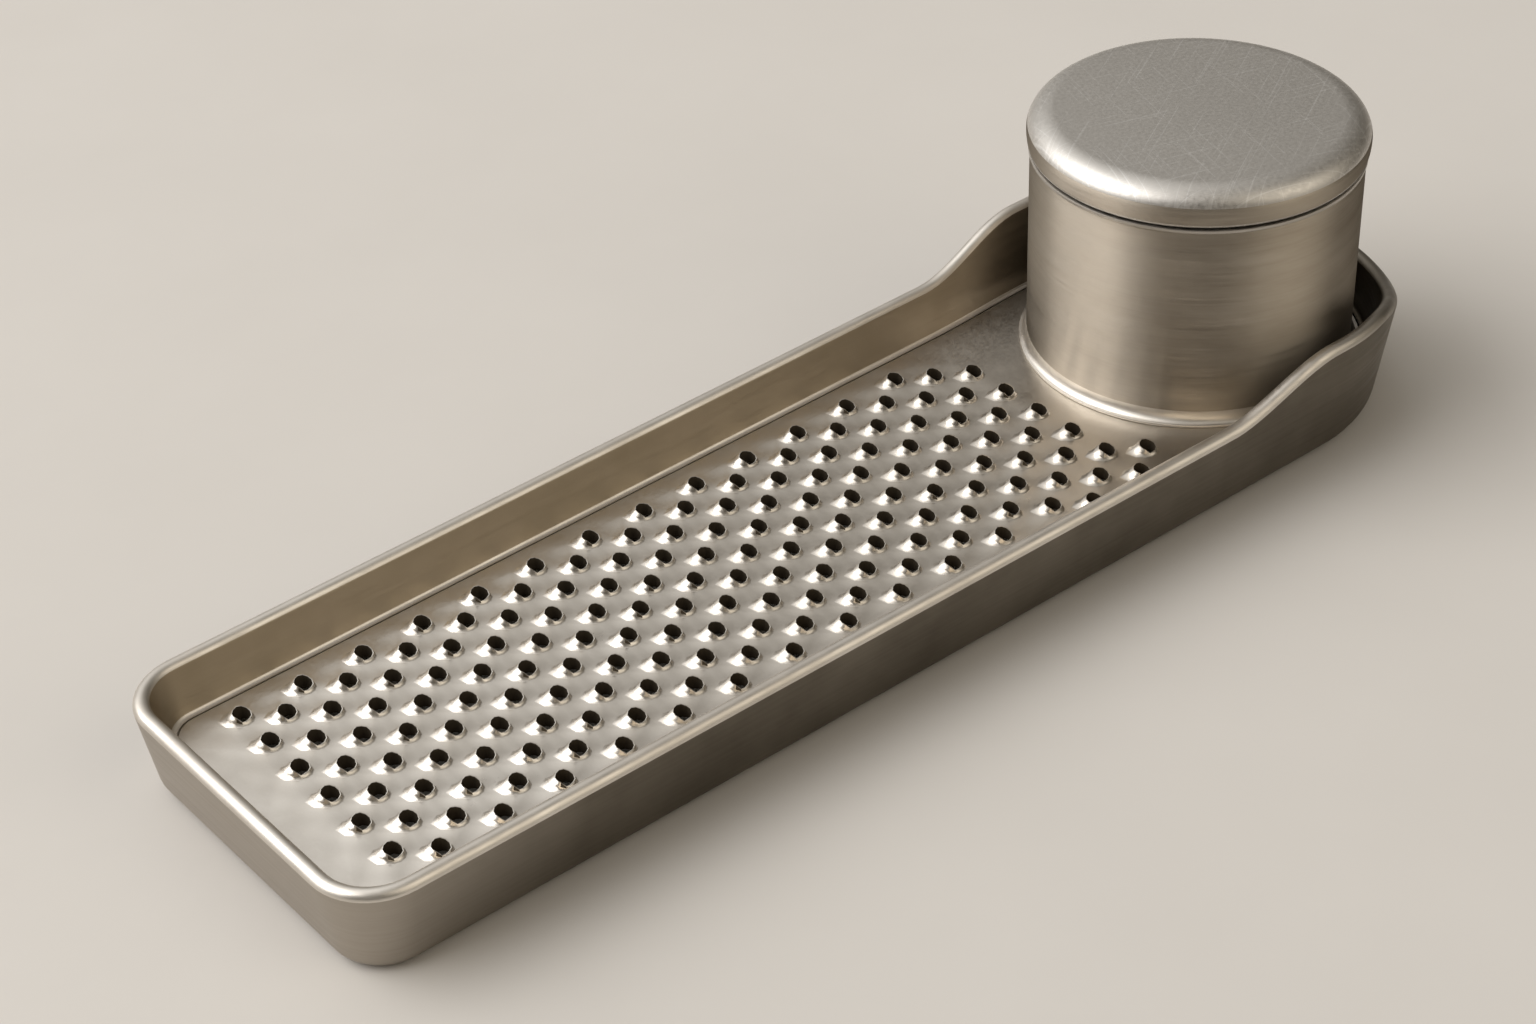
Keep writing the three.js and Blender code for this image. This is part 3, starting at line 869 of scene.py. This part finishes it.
def lattice_swell(nodes, links):
    """The sheet swells a little at each tooth and sinks between them, and lies flat by the canister."""
    first = (AXIS_X + FIRST_TOOTH_X + TOOTH_MIDDLE_X, (TOOTH_ROWS - 1) / 2 * ROW_PITCH, 0)
    axes = nodes.new("ShaderNodeSeparateXYZ")
    links.new(scaled_place(nodes, links, (1, 1, 1), first), axes.inputs["Vector"])
    toothed = -FIRST_TOOTH_X - TOOTH_CLEAR_RADIUS
    fade_in = spread(nodes, links, axes.outputs["X"], 0, 1, SWELL_START * MM, SWELL_FULL * MM)
    fade_out = spread(nodes, links, axes.outputs["X"], 1, 0, (toothed - SWELL_FADE) * MM, (toothed + SWELL_FADE) * MM)
    fade = times(nodes, links, fade_in, fade_out)
    waves = []
    for axis, pitch in (("X", TOOTH_PITCH), ("Y", 2 * ROW_PITCH)):
        turns = nodes.new("ShaderNodeMath")
        turns.operation = "MULTIPLY"
        turns.inputs[1].default_value = math.tau / (pitch * MM)
        links.new(axes.outputs[axis], turns.inputs[0])
        wave = nodes.new("ShaderNodeMath")
        wave.operation = "COSINE"
        links.new(turns.outputs["Value"], wave.inputs[0])
        waves.append(wave.outputs["Value"])
    return times(nodes, links, times(nodes, links, *waves), fade)


def turned_pattern(nodes, links, turn, scale):
    """Noise drawn out along a direction, in degrees from X."""
    coordinates = nodes.new("ShaderNodeTexCoord")
    rotate = nodes.new("ShaderNodeVectorRotate")
    rotate.rotation_type = "Z_AXIS"
    rotate.inputs["Angle"].default_value = math.radians(-turn)
    links.new(coordinates.outputs["Object"], rotate.inputs["Vector"])
    mapping = nodes.new("ShaderNodeMapping")
    mapping.inputs["Scale"].default_value = scale
    links.new(rotate.outputs["Vector"], mapping.inputs["Vector"])
    noise = nodes.new("ShaderNodeTexNoise")
    noise.inputs["Scale"].default_value = 1
    noise.inputs["Detail"].default_value = 1
    links.new(mapping.outputs["Vector"], noise.inputs["Vector"])
    return noise.outputs["Fac"]


def steel(name, dark, light, roughness, grain, mottle=(90, 90, 90), grain_depth=0.008, wave_depth=0.03,
          uneven_gloss=0.05, across=0.0, swell_depth=0.0, scratches=(), fade=None, edge=1.0):
    """Bare steel: a fine grain, soft mottling of colour and gloss, and a slightly uneven face.

    Grain and mottle count their spots to the metre along each axis. The depths are in millimetres. The colour can
    fade to another one between two places in x from the canister's axis. A scratch is a turn from X in degrees,
    a length and a width. across spreads the gloss up and down, across brushing that runs round a piece. edge
    shades the steel where it is seen at a flat angle.
    """
    made, nodes, links = material(name)
    shader = nodes["Principled BSDF"]
    shader.inputs["Metallic"].default_value = 1
    shader.inputs["Specular Tint"].default_value = (edge, edge, edge, 1)
    shader.inputs["Anisotropic"].default_value = across
    shader.inputs["Anisotropic Rotation"].default_value = ACROSS_TURN
    cloud = pattern(nodes, links, mottle, detail=3, roughness=0.6)
    grain_height = pattern(nodes, links, grain, detail=2, roughness=0.6)
    cloud_factor = spread(nodes, links, cloud, 0, 1, NOISE_LOW, NOISE_HIGH)
    colour = tint(nodes, links, cloud_factor, dark, light)
    if fade:
        last, start, end = fade
        axes = nodes.new("ShaderNodeSeparateXYZ")
        links.new(scaled_place(nodes, links, (1, 1, 1), (AXIS_X, 0, 0)), axes.inputs["Vector"])
        factor = spread(nodes, links, axes.outputs["X"], 0, 1, start * MM, end * MM)
        colour = tint(nodes, links, factor, colour, last)
    for turn, length, width in scratches:
        lines = turned_pattern(nodes, links, turn, (1000 / length, 1000 / width, 1))
        share = spread(nodes, links, lines, 0, SCRATCH_SHARE, SCRATCH_START, SCRATCH_END)
        colour = tint(nodes, links, share, colour, SCRATCH_STEEL)
    links.new(colour, shader.inputs["Base Color"])
    cloud_gloss = spread(nodes, links, cloud, roughness + uneven_gloss, roughness - uneven_gloss,
                         NOISE_LOW, NOISE_HIGH)
    grain_gloss = spread(nodes, links, grain_height, 1 - GRAIN_GLOSS, 1 + GRAIN_GLOSS, NOISE_LOW, NOISE_HIGH)
    links.new(times(nodes, links, cloud_gloss, grain_gloss), shader.inputs["Roughness"])
    normal = bump(nodes, links, cloud, wave_depth, strength=1)
    if swell_depth:
        normal = bump(nodes, links, lattice_swell(nodes, links), swell_depth, strength=1, below=normal)
    links.new(bump(nodes, links, grain_height, grain_depth, strength=1, below=normal), shader.inputs["Normal"])
    return made


def rubber(name, dark, light):
    """Soft rubber with a faint cloud and a fine matt grain."""
    made, nodes, links = material(name)
    shader = nodes["Principled BSDF"]
    cloud = pattern(nodes, links, RUBBER_CLOUD, detail=3)
    links.new(tint(nodes, links, cloud, dark, light), shader.inputs["Base Color"])
    links.new(spread(nodes, links, cloud, *RUBBER_ROUGHNESS), shader.inputs["Roughness"])
    grain = pattern(nodes, links, RUBBER_GRAIN)
    links.new(bump(nodes, links, grain, distance=0.01, strength=0.5), shader.inputs["Normal"])
    return made


def painted_tooth_shade(name, colour):
    """Painted shade inside a tooth: the torn steel there, which light hardly reaches, is coloured near-black."""
    made, nodes, links = material(name)
    shader = nodes["Principled BSDF"]
    shader.inputs["Metallic"].default_value = TORN_METAL
    cloud = pattern(nodes, links, TORN_CLOUD, detail=3)
    darkest = [c * TOOTH_SHADE_DARKEST for c in colour]
    links.new(tint(nodes, links, cloud, darkest, colour), shader.inputs["Base Color"])
    links.new(spread(nodes, links, cloud, *TORN_ROUGHNESS), shader.inputs["Roughness"])
    links.new(bump(nodes, links, cloud, distance=0.03, strength=0.6), shader.inputs["Normal"])
    return made


def give(piece, *finishes):
    piece.data.materials.clear()
    for finish in finishes:
        piece.data.materials.append(finish)


def finish_faces(piece, number, wanted):
    """Gives the faces whose middle (in mm) and normal the test says yes to the finish of that number."""
    for face in piece.data.polygons:
        if wanted(face.center / MM, face.normal):
            face.material_index = number


def in_a_tooth(place, normal):
    """The faces inside a tooth stand upright, clear of the plate's edge and of the rivet holes."""
    x = place.x - AXIS_X
    clear_of_edge = x > FIRST_TOOTH_X - DISH_RADIUS and abs(place.y) < plate_half_width(x) - PLAIN_EDGE
    clear_of_rivets = math.hypot(x, place.y) > TOOTH_CLEAR_RADIUS - DISH_RADIUS
    return abs(normal.z) < TOOTH_LEAN and clear_of_edge and clear_of_rivets


def outward_at(place):
    """The direction away from the middle line of the tray: round at both ends, straight across between them."""
    x = place.x - AXIS_X
    if x > 0:
        return Vector((x, place.y, 0)).normalized()
    side = 1 if place.y > 0 else -1
    if x > CORNER_X:
        return Vector((0, side, 0))
    return Vector((x - CORNER_X, side * max(abs(place.y) - CORNER_Y, 0), 0)).normalized()


def is_outer(place, normal):
    """The outer wall, and every face that looks down: these take the dark outer steel, painted shade."""
    return normal.z < -OUTER_LEAN or (normal.z < OUTER_LEAN and normal.dot(outward_at(place)) > SIDEWAYS)


def is_inner(place, normal):
    """The inner wall, and the band at its foot where it passes behind the canister: these take the inner steel's
    painted shade.
    """
    wall = 0 < normal.z < INNER_LEAN and normal.dot(outward_at(place)) < -SIDEWAYS
    return wall or (place.x > AXIS_X and place.z < PLATE_TOP + BAND_TOP)


# The object

tray = make_tray()
bearer = make_bearer()
plate = make_plate()
canister = make_canister()
canister_floor = make_canister_floor()
neck = make_neck()
lid = make_lid()
collar = make_collar()
seal = make_seal()
rivets = [make_rivet(number) for number in range(1, RIVETS + 1)]

# The rim's steel darkens between x = -7 and 12 mm from the canister's axis: painted shade beside and behind the
# canister. The bearer and the canister's foot take this steel too.
rim_steel = steel(
    "satin_rim_steel_painted_shade", dark=(0.62, 0.575, 0.515), light=(0.72, 0.68, 0.62), roughness=0.43,
    grain=(300, 300, 2600), grain_depth=0.004, fade=((0.2, 0.178, 0.145), -7, 12))
# The outer steel is a dark copy of the tray's steel: painted shade on the outer wall and on every face that looks
# down. It lightens towards the front end: painted light where that end faces the window.
outer_steel = steel(
    "outer_steel_painted_shade", dark=(0.145, 0.126, 0.099), light=(0.215, 0.19, 0.154), roughness=0.46,
    grain=(60, 60, 2600), grain_depth=0.004, fade=((0.42, 0.38, 0.33), 24 - FRONT_REACH, -FRONT_REACH))
# The inner steel is a darker, browner copy of the tray's steel: painted shade and reflection on the inner wall. It
# fades to nearly black between x = -24 and 4 mm: painted shade beside and behind the canister.
inner_steel = steel(
    "inner_steel_painted_shade", dark=(0.38, 0.318, 0.232), light=(0.48, 0.406, 0.309), roughness=0.4,
    grain=(60, 60, 2600), grain_depth=0.004, fade=((0.07, 0.057, 0.04), -24, 4))
# The plate's steel darkens from the front end towards the canister, between x = -118 and -22 mm: painted shade and
# the canister's painted reflection.
plate_steel = steel(
    "satin_plate_steel_painted_shade", dark=(0.59, 0.55, 0.495), light=(0.73, 0.69, 0.633), roughness=0.37,
    grain=(2200, 3000, 3000), grain_depth=0.006, swell_depth=0.06, fade=((0.52, 0.48, 0.425), -118, -22))
# Near-black painted shade on the faces inside the teeth.
tooth_shade = painted_tooth_shade("painted_shade_in_teeth", (0.075, 0.058, 0.038))
# The canister's steel: the brushing round it is real, and its colour, darker than the tray's steel, is painted shade.
# The lid's upright side takes it too.
brushed = steel(
    "brushed_steel_painted_shade", dark=(0.41, 0.358, 0.292), light=(0.46, 0.41, 0.344), roughness=0.45,
    grain=(60, 60, 4200), grain_depth=0.005, mottle=(90, 90, 420), wave_depth=0.004, across=0.96, edge=0.3)
polished = steel(
    "scratched_lid_steel", dark=(0.57, 0.546, 0.51), light=(0.59, 0.566, 0.53), roughness=0.45,
    grain=(2600, 2600, 2600), grain_depth=0.003, mottle=(60, 60, 60), wave_depth=0.002, uneven_gloss=0.015,
    scratches=((28, 22, 0.24), (-17, 17, 0.22), (71, 14, 0.22)))
plain = steel(
    "plain_inner_steel", dark=(0.42, 0.39, 0.35), light=(0.52, 0.49, 0.45), roughness=0.42,
    grain=(900, 900, 900))
pale_rubber = rubber("pale_seal_rubber", dark=(0.70, 0.675, 0.63), light=(0.80, 0.775, 0.73))

for piece, body, node, slot, finishes in (
    (tray, "grater", "tray_shell", "satin_steel", (rim_steel, outer_steel, inner_steel)),
    (bearer, "grater", "plate_bearer", "satin_steel", (rim_steel,)),
    (plate, "grater", "grater_plate", "satin_steel", (plate_steel, tooth_shade)),
    (canister, "grater", "canister_wall", "brushed_steel", (brushed, rim_steel)),
    (canister_floor, "grater", "canister_floor", "plain_steel", (plain,)),
    (neck, "grater", "neck_ring", "brushed_steel", (plain,)),
    (lid, "lid", "lid_shell", "polished_steel", (polished, brushed)),
    (collar, "lid", "lid_collar", "plain_steel", (plain,)),
    (seal, "seal", "lid_seal", "soft_seal", (pale_rubber,)),
    *[(rivet, "grater", f"floor_rivet_{i + 1}", "plain_steel", (plain,)) for i, rivet in enumerate(rivets)],
):
    give(piece, *finishes)
    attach(piece, body)
    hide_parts(node)

# Painted shade: the inner wall and the band behind the canister take the inner steel.
finish_faces(tray, 2, is_inner)
# Painted shade: the outer wall and every face that looks down take the outer steel.
finish_faces(tray, 1, is_outer)
# Painted shade: the faces inside the teeth take the near-black steel.
finish_faces(plate, 1, in_a_tooth)
finish_faces(canister, 1, lambda place, normal: place.z < PLATE_TOP + FOOT_HEIGHT)
# Painted shade: the lid's upright side takes the darker brushed steel.
finish_faces(lid, 1, lambda place, normal: abs(normal.z) < LID_SIDE_LEAN)

# Table

TABLE_SIZE = 4
TABLE_CLOUD = (25, 25, 25)
TABLE_DARK = (0.59, 0.562, 0.525)
TABLE_LIGHT = (0.61, 0.582, 0.545)
TABLE_ROUGHNESS = 0.75

bpy.ops.object.select_all(action="DESELECT")
bpy.ops.mesh.primitive_plane_add(size=TABLE_SIZE, location=(0, 0, 0))
table = bpy.context.object
table.name = "table"
table_finish, nodes, links = material("pale_table")
table_cloud = pattern(nodes, links, TABLE_CLOUD, detail=4, roughness=0.6)
table_share = spread(nodes, links, table_cloud, 0, 1, NOISE_LOW, NOISE_HIGH)
table_tint = tint(nodes, links, table_share, TABLE_DARK, TABLE_LIGHT)
links.new(table_tint, nodes["Principled BSDF"].inputs["Base Color"])
nodes["Principled BSDF"].inputs["Roughness"].default_value = TABLE_ROUGHNESS
give(table, table_finish)

# Camera: its place is in metres and its angles are in radians

CAMERA_PLACE = Vector((-0.158555, -0.187572, 0.184872))
YAW = 0.899
PITCH = 0.629
ROLL = -0.043
LENS = 70.3125
FILM_WIDTH = 36
CLIP_START = 0.01

forward = Vector((math.cos(YAW) * math.cos(PITCH), math.sin(YAW) * math.cos(PITCH), -math.sin(PITCH)))
right = Vector((math.sin(YAW), -math.cos(YAW), 0))
up = right.cross(forward)
right_rolled = math.cos(ROLL) * right + math.sin(ROLL) * up
up_rolled = -math.sin(ROLL) * right + math.cos(ROLL) * up
camera_data = bpy.data.cameras.new("camera")
camera_data.lens = LENS
camera_data.sensor_width = FILM_WIDTH
camera_data.clip_start = CLIP_START
camera = bpy.data.objects.new("camera", camera_data)
bpy.context.scene.collection.objects.link(camera)
turn = Matrix((right_rolled, up_rolled, -forward)).transposed()
camera.matrix_world = Matrix.Translation(CAMERA_PLACE) @ turn.to_4x4()
bpy.context.scene.camera = camera

# Light

WINDOW_AZIMUTH = 145
WINDOW_ELEVATION = 42
WINDOW_DISTANCE = 2.0
WINDOW_SIZE = (2.2, 1.8)
WINDOW_POWER = 40
WINDOW_COLOUR = (1, 0.985, 0.975)


def direction(azimuth, elevation):
    a, e = math.radians(azimuth), math.radians(elevation)
    return Vector((math.cos(a) * math.cos(e), math.sin(a) * math.cos(e), math.sin(e)))


def make_window():
    """A soft light that looks at the middle of the tray."""
    data = bpy.data.lights.new("window", "AREA")
    data.shape = "RECTANGLE"
    data.size, data.size_y = WINDOW_SIZE
    data.energy = WINDOW_POWER
    data.color = WINDOW_COLOUR
    lamp = bpy.data.objects.new("window", data)
    bpy.context.scene.collection.objects.link(lamp)
    out = direction(WINDOW_AZIMUTH, WINDOW_ELEVATION)
    lamp.location = out * WINDOW_DISTANCE
    lamp.rotation_euler = out.to_track_quat("Z", "Y").to_euler()


def toward(nodes, links, azimuth, elevation):
    """How closely a direction of the room points to a place in its sky, from -1 to 1."""
    coordinates = nodes.new("ShaderNodeTexCoord")
    made = nodes.new("ShaderNodeVectorMath")
    made.operation = "DOT_PRODUCT"
    made.inputs[1].default_value = direction(azimuth, elevation)
    links.new(coordinates.outputs["Generated"], made.inputs[0])
    return made.outputs["Value"]


BRIGHT_SIDE = (105, 50)
ROOM_GLOW = (
    (0.0, (0.045, 0.037, 0.026)),
    (0.5, (0.05, 0.042, 0.03)),
    (0.68, (0.16, 0.148, 0.13)),
    (0.80, (0.30, 0.282, 0.256)),
    (0.88, (0.42, 0.402, 0.375)),
    (0.94, (1, 0.99, 0.97)),
)
PALE_WALL_SIDE = (295, 36)
PALE_WALL_START, PALE_WALL_END = 0.82, 0.98
PALE_WALL_COLOUR = (1.35, 1.24, 1.06)


def make_room():
    """A room that is bright round the window and overhead, dark on the other side, with one pale wall there."""
    world = bpy.data.worlds.new("room")
    bpy.context.scene.world = world
    world.use_nodes = True
    nodes, links = world.node_tree.nodes, world.node_tree.links
    ramp = nodes.new("ShaderNodeValToRGB")
    ramp.color_ramp.interpolation = "B_SPLINE"
    while len(ramp.color_ramp.elements) < len(ROOM_GLOW):
        ramp.color_ramp.elements.new(0.5)
    for stop, (place, colour) in zip(ramp.color_ramp.elements, ROOM_GLOW):
        stop.position = place
        stop.color = (*colour, 1)
    to_bright_side = toward(nodes, links, *BRIGHT_SIDE)
    links.new(spread(nodes, links, to_bright_side, 0, 1, -1, 1), ramp.inputs["Fac"])
    to_wall = toward(nodes, links, *PALE_WALL_SIDE)
    pale_wall = nodes.new("ShaderNodeMix")
    pale_wall.data_type = "RGBA"
    pale_wall.blend_type = "ADD"
    share = spread(nodes, links, to_wall, 0, 1, PALE_WALL_START, PALE_WALL_END)
    links.new(share, pale_wall.inputs["Factor"])
    links.new(ramp.outputs["Color"], pale_wall.inputs["A"])
    pale_wall.inputs["B"].default_value = (*PALE_WALL_COLOUR, 1)
    links.new(pale_wall.outputs["Result"], nodes["Background"].inputs["Color"])
    nodes["Background"].inputs["Strength"].default_value = 1


make_window()
make_room()

bpy.context.scene.view_settings.view_transform = "Standard"
